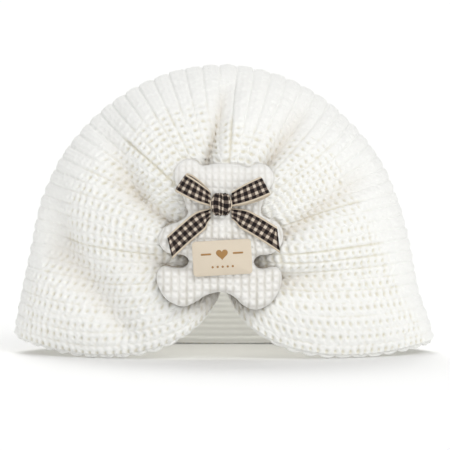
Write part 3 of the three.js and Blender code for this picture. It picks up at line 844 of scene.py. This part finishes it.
front, front_faces = fill_outline(bear_line, 0.33, 0.36, 0.25)
back, back_faces = fill_outline(bear_line, 1.6, 1.6, 0.8)
edge = len(bear_line)
inside = np.maximum(to_edge(front, bear_line), 0)
inside[:edge] = 0
round_part = np.sqrt(1 - (1 - np.minimum(inside / EDGE_ROUND, 1))**2)
upright, level = waffle(front[:, 0], front[:, 1])
cells = smooth(inside, 0, 0.9) * fading(front[:, 1], *WAFFLE_FADES_UP)
puff = 0.9 + 0.1 * smooth(inside, 2, 8)
lifted = BEAR_THICKNESS * (PAD_EDGE + (puff - PAD_EDGE) * round_part) - cells * (
    CHANNEL_DEPTH * np.maximum(upright, LEVEL_DEPTH * level))
front_y = pad_depth(front[:, 0], front[:, 1], lifted) + (1 - round_part) * sunk_with_knit(front)
inside_back = np.maximum(to_edge(back[edge:], bear_line), 0)
back_lifted = BEAR_THICKNESS * PAD_EDGE * (1 - np.sqrt(1 - (1 - np.minimum(inside_back / 2, 1))**2))
back_y = pad_depth(back[edge:, 0], back[edge:, 1], back_lifted) + sunk_with_knit(back[edge:])
points = np.vstack([np.column_stack([front[:, 0], front_y, front[:, 1]]),
                    np.column_stack([back[edge:, 0], back_y, back[edge:, 1]])])
back_index = np.where(back_faces < edge, back_faces, back_faces - edge + len(front))
uneven = 0.75 + 0.25 * soft_noise(front[:, 0] / 2.4, front[:, 1] / 2.4)
# painted shade in the waffle's channels, uneven at random and fainter up on the head
seam = np.clip(np.maximum(upright, LEVEL_SHADE * level) * cells * uneven, 0, 1)
bear_mesh = mesh_from("bear_pad", points, [front_faces, back_index[:, ::-1]],
                      seam=np.append(seam, np.zeros(len(points) - len(front))))
print("bear triangles:", len(front_faces) + len(back_faces), "places:", len(points))

# %% Waffle cloth
# Brushing lifts a short nap off the cotton, so its light is even. The channels get a painted grey shade.
waffle_cloth, tree, shader = new_material(
    "brushed_cotton_waffle_cloth", Roughness=0.9, Specular_IOR_Level=0.25, Sheen_Weight=0.25,
    Sheen_Roughness=0.5)
nap = node(tree, "TexNoise", _2=1500.0, _3=2.0)
# painted shade: grey in the waffle's channels
channel_shade = blend(tree, kept_value(tree, "seam"), "#faf9f6", "#d4d0c7")
give_surface(tree, shader, channel_shade, nap.outputs["Fac"], 0.25, 0.0003)
bear = link_piece("bear_pad", bear_mesh, waffle_cloth, node="bear_patch")

# %% [markdown]
# The bow is a narrow woven ribbon. Each loop runs out from the knot, turns at a soft fold and comes back
# over itself, and each tail lies down over an arm to a slanting cut. Near the knot the ribbon is drawn
# together into pleats.

# %% A ribbon through a row of places
RIBBON_WIDTH, RIBBON_THICKNESS, RIBBON_LIFT = 8.8, 0.6, 0.5
KNOT = dict(x=-1.1, z=68.6, width=8.6, height=9.6, thickness=5.0)
# side, height of the root, x and z of a loop's fold or a tail's bend and end, and the lean there
LOOPS = {"bow_loop_left": (-1, 70.8, -18.6, 77.8, -35), "bow_loop_right": (1, 70.8, 18.3, 76.7, 28)}
TAILS = {"bow_tail_left": (-1, 64.4, -11.5, 61, -23.5, 49.6, 13),
         "bow_tail_right": (1, 64.4, 10.5, 62, 24, 52.9, 7)}
ACROSS = np.linspace(-1, 1, 25)


def ribbon_places(x, z, height, lean, width):
    """Middles, directions across and widths of a ribbon that lies along the bear's front."""
    dx, dz = -np.sin(lean), np.cos(lean)
    half = RIBBON_WIDTH / 2
    fall = pad_depth(x + half * dx, z + half * dz, 0) - pad_depth(x - half * dx, z - half * dz, 0)
    across = unit(np.stack([dx, fall / RIBBON_WIDTH, dz], -1))
    middle = np.stack([x, pad_depth(x, z, BEAR_THICKNESS + REST_GAP + RIBBON_LIFT + height), z], -1)
    return middle, across, width * RIBBON_WIDTH


def ribbon(name, middle, across, width, start):
    """A closed strip of ribbon with a front, a back and two selvedges."""
    along = np.gradient(middle, axis=0)
    outward = unit(np.cross(along, across))
    run = start + run_along(middle)
    drawn = np.clip(1 - width / RIBBON_WIDTH, 0, 1)[:, None]
    pleat = 0.9 * drawn * np.cos(2.6 * math.pi * ACROSS)[None]
    flat = middle[:, None] + across[:, None] * (ACROSS[None] * width[:, None] / 2)[..., None]
    half = RIBBON_THICKNESS / 2 * (1 - 0.75 * np.abs(ACROSS)**10)
    front = flat + outward[:, None] * (pleat + half[None])[..., None]
    behind = flat + outward[:, None] * (pleat - half[None])[..., None]
    skin = np.concatenate([front, behind[:, ::-1]], axis=1)
    rows = len(skin)
    index, quads = ring_faces(*skin.shape[:2])
    n = len(ACROSS)
    cap = lambda row: np.stack([row[: n - 1], row[1:n], row[::-1][1:n], row[::-1][: n - 1]], -1)
    ends = [cap(index[0, :-1])[:, ::-1], cap(index[-1, :-1])]
    if np.cross(along[rows // 2], across[rows // 2]) @ outward[rows // 2] < 0:
        quads, ends = quads[:, ::-1], [e[:, ::-1] for e in ends]
    place = np.concatenate([ACROSS, ACROSS[::-1]])[None] * 0.5 * RIBBON_WIDTH + 0 * run[:, None]
    return mesh_from(name, skin.reshape(-1, 3), [quads] + ends,
                     ribbon_across=place, ribbon_along=run[:, None] + 0 * place)


# %% The loops, tails and knot
# share of the way out, height over the ribbon on the bear, share of the width, and slip of the lower layer
LOOP_PROFILE = np.array([
    (0, 0, 0.72, 0.2), (0.35, 0, 0.9, 0.9), (0.7, 0, 1, 1.1), (0.94, 0.2, 1, 0.8), (1, 1.3, 1, 0.3),
    (0.96, 2.5, 1, 0), (0.8, 3.6, 1, 0), (0.55, 4.2, 0.97, 0), (0.3, 3.6, 0.89, 0),
    (0.1, 2.4, 0.77, 0), (0, 2, 0.72, 0),
])
bow_meshes = {}
root_at = lambda side: KNOT["x"] + side * (KNOT["width"] / 2 + REST_GAP)
for name, (side, root_z, fold_x, fold_z, lean) in LOOPS.items():
    at = np.linspace(0, len(LOOP_PROFILE) - 1, 90)
    out, height_over, width, slip = (through(np.arange(len(LOOP_PROFILE)), column, at)
                                     for column in LOOP_PROFILE.T)
    root_x = root_at(side)
    x, z = root_x + (fold_x - root_x) * out, root_z + (fold_z - root_z) * out - side * slip
    middle, across, width = ribbon_places(x, z, height_over, math.radians(lean) * out, width)
    bow_meshes[name] = ribbon(name, middle, across, width, 0)
for name, (side, root_z, bend_x, bend_z, end_x, end_z, lean) in TAILS.items():
    t = np.linspace(0, 1, 60)
    root_x = root_at(side)
    course = lambda a, b, c: (1 - t)**2 * a + 2 * t * (1 - t) * b + t**2 * c
    x, z = course(root_x, bend_x, end_x), course(root_z, bend_z, end_z)
    square = np.arctan2(side * np.gradient(z), side * np.gradient(x))
    opened = smooth(t, 0, 0.4)
    turned = square * opened + (math.radians(lean) - square * opened) * smooth(t, 0.85, 1)
    width = (0.58 + 0.42 * opened) / np.cos(turned - square * opened)
    middle, across, width = ribbon_places(x, z, 0 * t, turned, width)
    bow_meshes[name] = ribbon(name, middle, across, width, 1.0)

# %% The knot
# The knot is a squarish barrel with a bead at each selvedge. Its stripes bunch up as its pleats do.
SQUARE, BARREL_FRONT, BARREL_PULLED, BEAD, KNOT_SELVEDGE = 2.6, 1.14, 0.34, 0.05, 0.87
turn = circle(72)
share = np.linspace(-1, 1, 45)
rounder = (np.abs(np.cos(turn))**SQUARE + np.abs(np.sin(turn))**SQUARE)**(-1 / SQUARE)
crease = 1 + 0.06 * np.cos(3.4 * math.pi * share + 0.7)[:, None] * (np.sin(turn) < 0)
around = np.sqrt(1 - 0.5 * np.abs(share)**7)[:, None] * rounder * crease
knot_y = float(pad_depth(KNOT["x"], KNOT["z"], BEAR_THICKNESS + REST_GAP + KNOT["thickness"] / 2))
barrel = BARREL_FRONT - BARREL_PULLED * np.cos(turn)**2
out = np.abs(share)[:, None]
around = around + BEAD * smooth(out, 0.72, 0.86) * smooth(-out, -1, -0.94)
rings = np.stack([KNOT["x"] + share[:, None] * KNOT["width"] / 2 * barrel,
                  knot_y + around * np.sin(turn) * KNOT["thickness"] / 2,
                  KNOT["z"] + around * np.cos(turn) * KNOT["height"] / 2], -1)
pleated = np.where(np.abs(share) > KNOT_SELVEDGE, 4.2, 3.1 * np.sin(1.08 * math.pi * share))
bow_meshes["bow_knot"] = tube("bow_knot", rings, ribbon_across=pleated[:, None] + 0 * around,
                              ribbon_along=4.5 * turn + 0.7 * np.sin(3 * share)[:, None] + 0 * around)
print("bow pieces:", ", ".join(bow_meshes))

# %% Woven gingham
# Where two dark stripes cross, the cloth is black, and where a dark and a light one cross, it is brown.
# Tight, matt weaving keeps the checks crisp. A fine speckle shows the single threads.
STRIPES = 3.1  # mm from one dark stripe to the next
SELVEDGE = 3.62  # mm from the middle, where the plain edge begins

gingham, tree, shader = new_material("woven_gingham_polyester", Roughness=0.85, Specular_IOR_Level=0.2)
across_mm, along_mm = kept_value(tree, "ribbon_across"), kept_value(tree, "ribbon_along")


def stripes(value, shift):
    """1 on dark stripes and 0 on light ones, with soft edges, from a place in millimetres."""
    shifted = node(tree, "Math", {0: value}, operation="ADD", _1=shift)
    turned = node(tree, "Math", {0: shifted.outputs[0]}, operation="MULTIPLY",
                  _1=2 * math.pi / STRIPES)
    wave = node(tree, "Math", {0: turned.outputs[0]}, operation="COSINE")
    return node(tree, "MapRange", {0: wave.outputs[0]}, _1=-0.3, _2=-0.14).outputs[0]


warp, weft = stripes(across_mm, 0.0), stripes(along_mm, 0.4)
threads = node(tree, "Math", {0: warp, 1: weft}, operation="ADD")
cloth = node(tree, "ValToRGB")
for stop, (place, colour) in zip(range(3), ((0.0, "#dccfbd"), (0.5, "#584a44"), (1.0, "#130e10"))):
    element = cloth.color_ramp.elements[stop] if stop < 2 else cloth.color_ramp.elements.new(place)
    element.position, element.color = place, linear(colour)
grain = node(tree, "TexNoise", _2=2400.0, _3=1.0)
speckle = node(tree, "MapRange", {0: grain.outputs["Fac"]}, _1=0.3, _2=0.7, _3=-0.2, _4=0.2)
mixed = node(tree, "Math", {0: threads.outputs[0], 2: speckle.outputs[0]},
             operation="MULTIPLY_ADD", _1=0.5)
tree.links.new(mixed.outputs[0], cloth.inputs[0])
off_middle = node(tree, "Math", {0: across_mm}, operation="ABSOLUTE")
at_edge = node(tree, "MapRange", {0: off_middle.outputs[0]},
               _1=SELVEDGE - 0.08, _2=SELVEDGE + 0.08)
edged = blend(tree, at_edge.outputs[0], cloth.outputs[0], "#d9cbb6")
give_surface(tree, shader, edged, grain.outputs["Fac"], 0.4, 0.0002)
for name, mesh in bow_meshes.items():
    link_piece(name, mesh, gingham, node=name)

# %% [markdown]
# The tag is a punched piece of pale leather with a small golden-brown print. Its edge is slightly rounded.
# The print is a thin layer of its own: a heart between two short lines, over a row of dots.

# %% The leather tag
TAG_CORNER_STEPS = 8


def rounded_box(width, height, corner, inset):
    """The outline of a rectangle with round corners, drawn in by some millimetres."""
    w, h, r = width / 2 - inset, height / 2 - inset, max(corner - inset, 0.2)
    quarter = np.linspace(0, math.pi / 2, TAG_CORNER_STEPS)
    corners = enumerate(((1, 1), (-1, 1), (-1, -1), (1, -1)))
    return np.vstack([np.stack([sx * (w - r), sz * (h - r)])
                      + r * np.stack([np.cos(quarter + k * math.pi / 2),
                                      np.sin(quarter + k * math.pi / 2)], 1)
                      for k, (sx, sz) in corners])


def on_tag(flat, height):
    """From a place on the tag's own plane to the hat, at a height over the tag's back."""
    tilt = math.radians(TAG["tilt"])
    x = TAG["x"] + flat[:, 0] * math.cos(tilt) - flat[:, 1] * math.sin(tilt)
    z = TAG["z"] + flat[:, 0] * math.sin(tilt) + flat[:, 1] * math.cos(tilt)
    return np.stack([x, tag_y + TAG["thickness"] / 2 - height + 0 * x, z], 1)


def slab(name, outline, bottom, top, bevel):
    """A closed flat piece on the tag from its outline, with a small rounded edge in front."""
    rings = [(0.0, bottom), (0.0, top - bevel), (0.3 * bevel, top - 0.3 * bevel), (bevel, top)]
    middle = outline.mean(0)
    loops = []
    for inset, height in rings:
        size = 1 - inset / np.linalg.norm(outline - middle, axis=1, keepdims=True)
        loops.append(on_tag(middle + (outline - middle) * size, height))
    return tube(name, np.array(loops))


# %% Print and tag pieces
# Tanned leather has a slight gloss, broken up by its pores. The print is a thin and smoother film on it.
tag_outline = rounded_box(TAG["width"], TAG["height"], TAG["corner"], 0)
tag_mesh = slab("tag_leather", tag_outline, 0.0, TAG["thickness"], 0.25)
leather, tree, shader = new_material("fine_grained_tanned_leather", Base_Color=linear("#ecdcc0"),
                                     Roughness=0.6, Specular_IOR_Level=0.4)
grain = node(tree, "TexNoise", _2=1200.0, _3=4.0, _4=0.6)
mottle = blend(tree, grain.outputs["Fac"], "#f5ead8", "#dccbb2")
give_surface(tree, shader, mottle, grain.outputs["Fac"], 0.7, 0.0003)
link_piece("tag_leather", tag_mesh, leather, node="tag")

t = circle(64)
heart = np.stack([16 * np.sin(t)**3,
                  13 * np.cos(t) - 5 * np.cos(2 * t) - 2 * np.cos(3 * t) - np.cos(4 * t)], 1) / 6.2
dot = 0.5 * np.stack([np.cos(t[::4]), np.sin(t[::4])], 1)
line = rounded_box(4.6, 0.8, 0.39, 0)
motif = {"print_heart": heart + (0, 1.6), "print_line_left": line + (-7, 1.8),
         "print_line_right": line + (7, 1.8)}
motif |= {f"print_dot_{k}": dot + (2.2 * (k - 2), -3.9) for k in range(5)}
ink = new_material("golden_brown_screen_print", Base_Color=linear("#a67c45"), Roughness=0.5)[0]
for name, outline in motif.items():
    film = slab(name, outline, TAG["thickness"] + 0.01, TAG["thickness"] + 0.08, 0.03)
    link_piece(name, film, ink)
print("printed marks:", len(motif))

# %% [markdown]
# The hem is finished with a row of flat yarn loops, each a shallow arc over two stitches. An arc is two
# strands that part in the middle and meet at the next. Here each strand is one long tube on a wavy path
# along the knit's edge. Beside the notch the loops are drawn smooth.

# %% The loops along the hem
SCALLOP, SCALLOP_DEPTH, STRAND = 8.0, 1.5, 0.8


def hem_strand(name, column, towards_hem, base, depth):
    """A yarn that runs along the hem in arcs."""
    centre, _, up, side = hem_frame(column, towards_hem)
    run = run_along(centre)
    at = np.arange(2.0, run[-1] - 0.3, 0.55)
    pick = lambda values: resample(values, run, at)
    wide = np.minimum(np.interp(at, run, rib_width[:, column]) / 5.0, 1)[:, None]
    arc = np.abs(np.sin(math.pi * at / SCALLOP))[:, None]**0.85 * (0.3 + 0.7 * smooth(at, 30, 55))[:, None]
    path = pick(centre) + pick(side) * (base + depth * arc) * wide + pick(up) * 0.25 * (1 - arc) * wide
    radius = STRAND * (0.35 + 0.65 * wide) * (1 + 0.06 * np.sin(2 * math.pi * at / 1.9))[:, None]
    path[:, 2] = np.maximum(path[:, 2], radius[:, 0] + 0.05)
    heading = unit(np.gradient(path, axis=0))
    first = pick(up)
    first = unit(first - heading * (first * heading).sum(1, keepdims=True))
    second = np.cross(heading, first)
    turn = circle(10)
    rings = path[:, None] + radius[:, None] * (first[:, None] * np.cos(turn)[None, :, None]
                                               + second[:, None] * np.sin(turn)[None, :, None])
    return tube(name, rings)


for side_name, column, towards_hem in (("left", 0, -1), ("right", len(outer_ribs) - 1, 1)):
    for part, base, depth in (("outer", 0.2, SCALLOP_DEPTH), ("inner", 0.0, 0.35 * SCALLOP_DEPTH)):
        name = f"hem_loops_{side_name}_{part}"
        link_piece(name, hem_strand(name, column, towards_hem, base, depth), knit_yarn)
print("arcs along the hem are", SCALLOP, "mm long and", SCALLOP_DEPTH, "mm deep")

# %% [markdown]
# The hat stands on a white sheet in even light, so that only its folds and holes turn grey. The light that
# keeps such a floor white would burn out the knit's back. So the strongest light from behind is linked to
# the floor alone, which no real lamp can do. A weak lamp inside keeps the hollow from going dark.

# %% Floor and lights
floor_mesh = bpy.data.meshes.new("floor")
floor_mesh.from_pydata([(-4, -4, 0), (4, -4, 0), (4, 8, 0), (-4, 8, 0)], [], [(0, 1, 2, 3)])
floor = put("floor", floor_mesh)
# matt acrylic, lit from behind: no gloss, and a faint glow of its own
sheet = new_material("backlit_white_acrylic", Base_Color=linear("#ececeb"), Roughness=0.9,
                     Emission_Color=(1, 1, 1, 1), Emission_Strength=0.03)[0]
floor_mesh.materials.append(sheet)

world = bpy.data.worlds.new("studio")
world.use_nodes = True
background = world.node_tree.nodes["Background"].inputs
background["Color"].default_value, background["Strength"].default_value = (1, 1, 1, 1), 0.62
bpy.context.scene.world = world


def soft_sun(name, towards, strength, softness, only=None):
    """Even light from one side, as from a large far window, on the whole set or on one object."""
    lamp = bpy.data.lights.new(name, "SUN")
    lamp.energy = strength
    lamp.angle = math.radians(softness)
    light = put(name, lamp)
    light.rotation_euler = Vector(towards).to_track_quat("-Z", "Y").to_euler()
    if only:
        lit = bpy.data.collections.new(name + "_lights_only")
        lit.objects.link(only)
        light.light_linking.receiver_collection = lit


soft_sun("key", (-0.5, 0.9, -0.85), 0.94, 34)
soft_sun("fill", (0.1, 1.0, -0.1), 0.22, 30)
soft_sun("from_behind", (0.25, -1.4, -1.0), 0.55, 30)
soft_sun("on_the_floor", (0.15, -0.85, -1.0), 1.0, 32, only=floor)

lamp = bpy.data.lights.new("inside", "AREA")
lamp.shape, lamp.size, lamp.size_y, lamp.energy = "RECTANGLE", 0.08, 0.04, 0.027
lamp.color = (1.0, 0.98, 0.92)
put("inside", lamp).location = (0, 0.005, 0.085)
bpy.context.scene.view_settings.view_transform = "Standard"
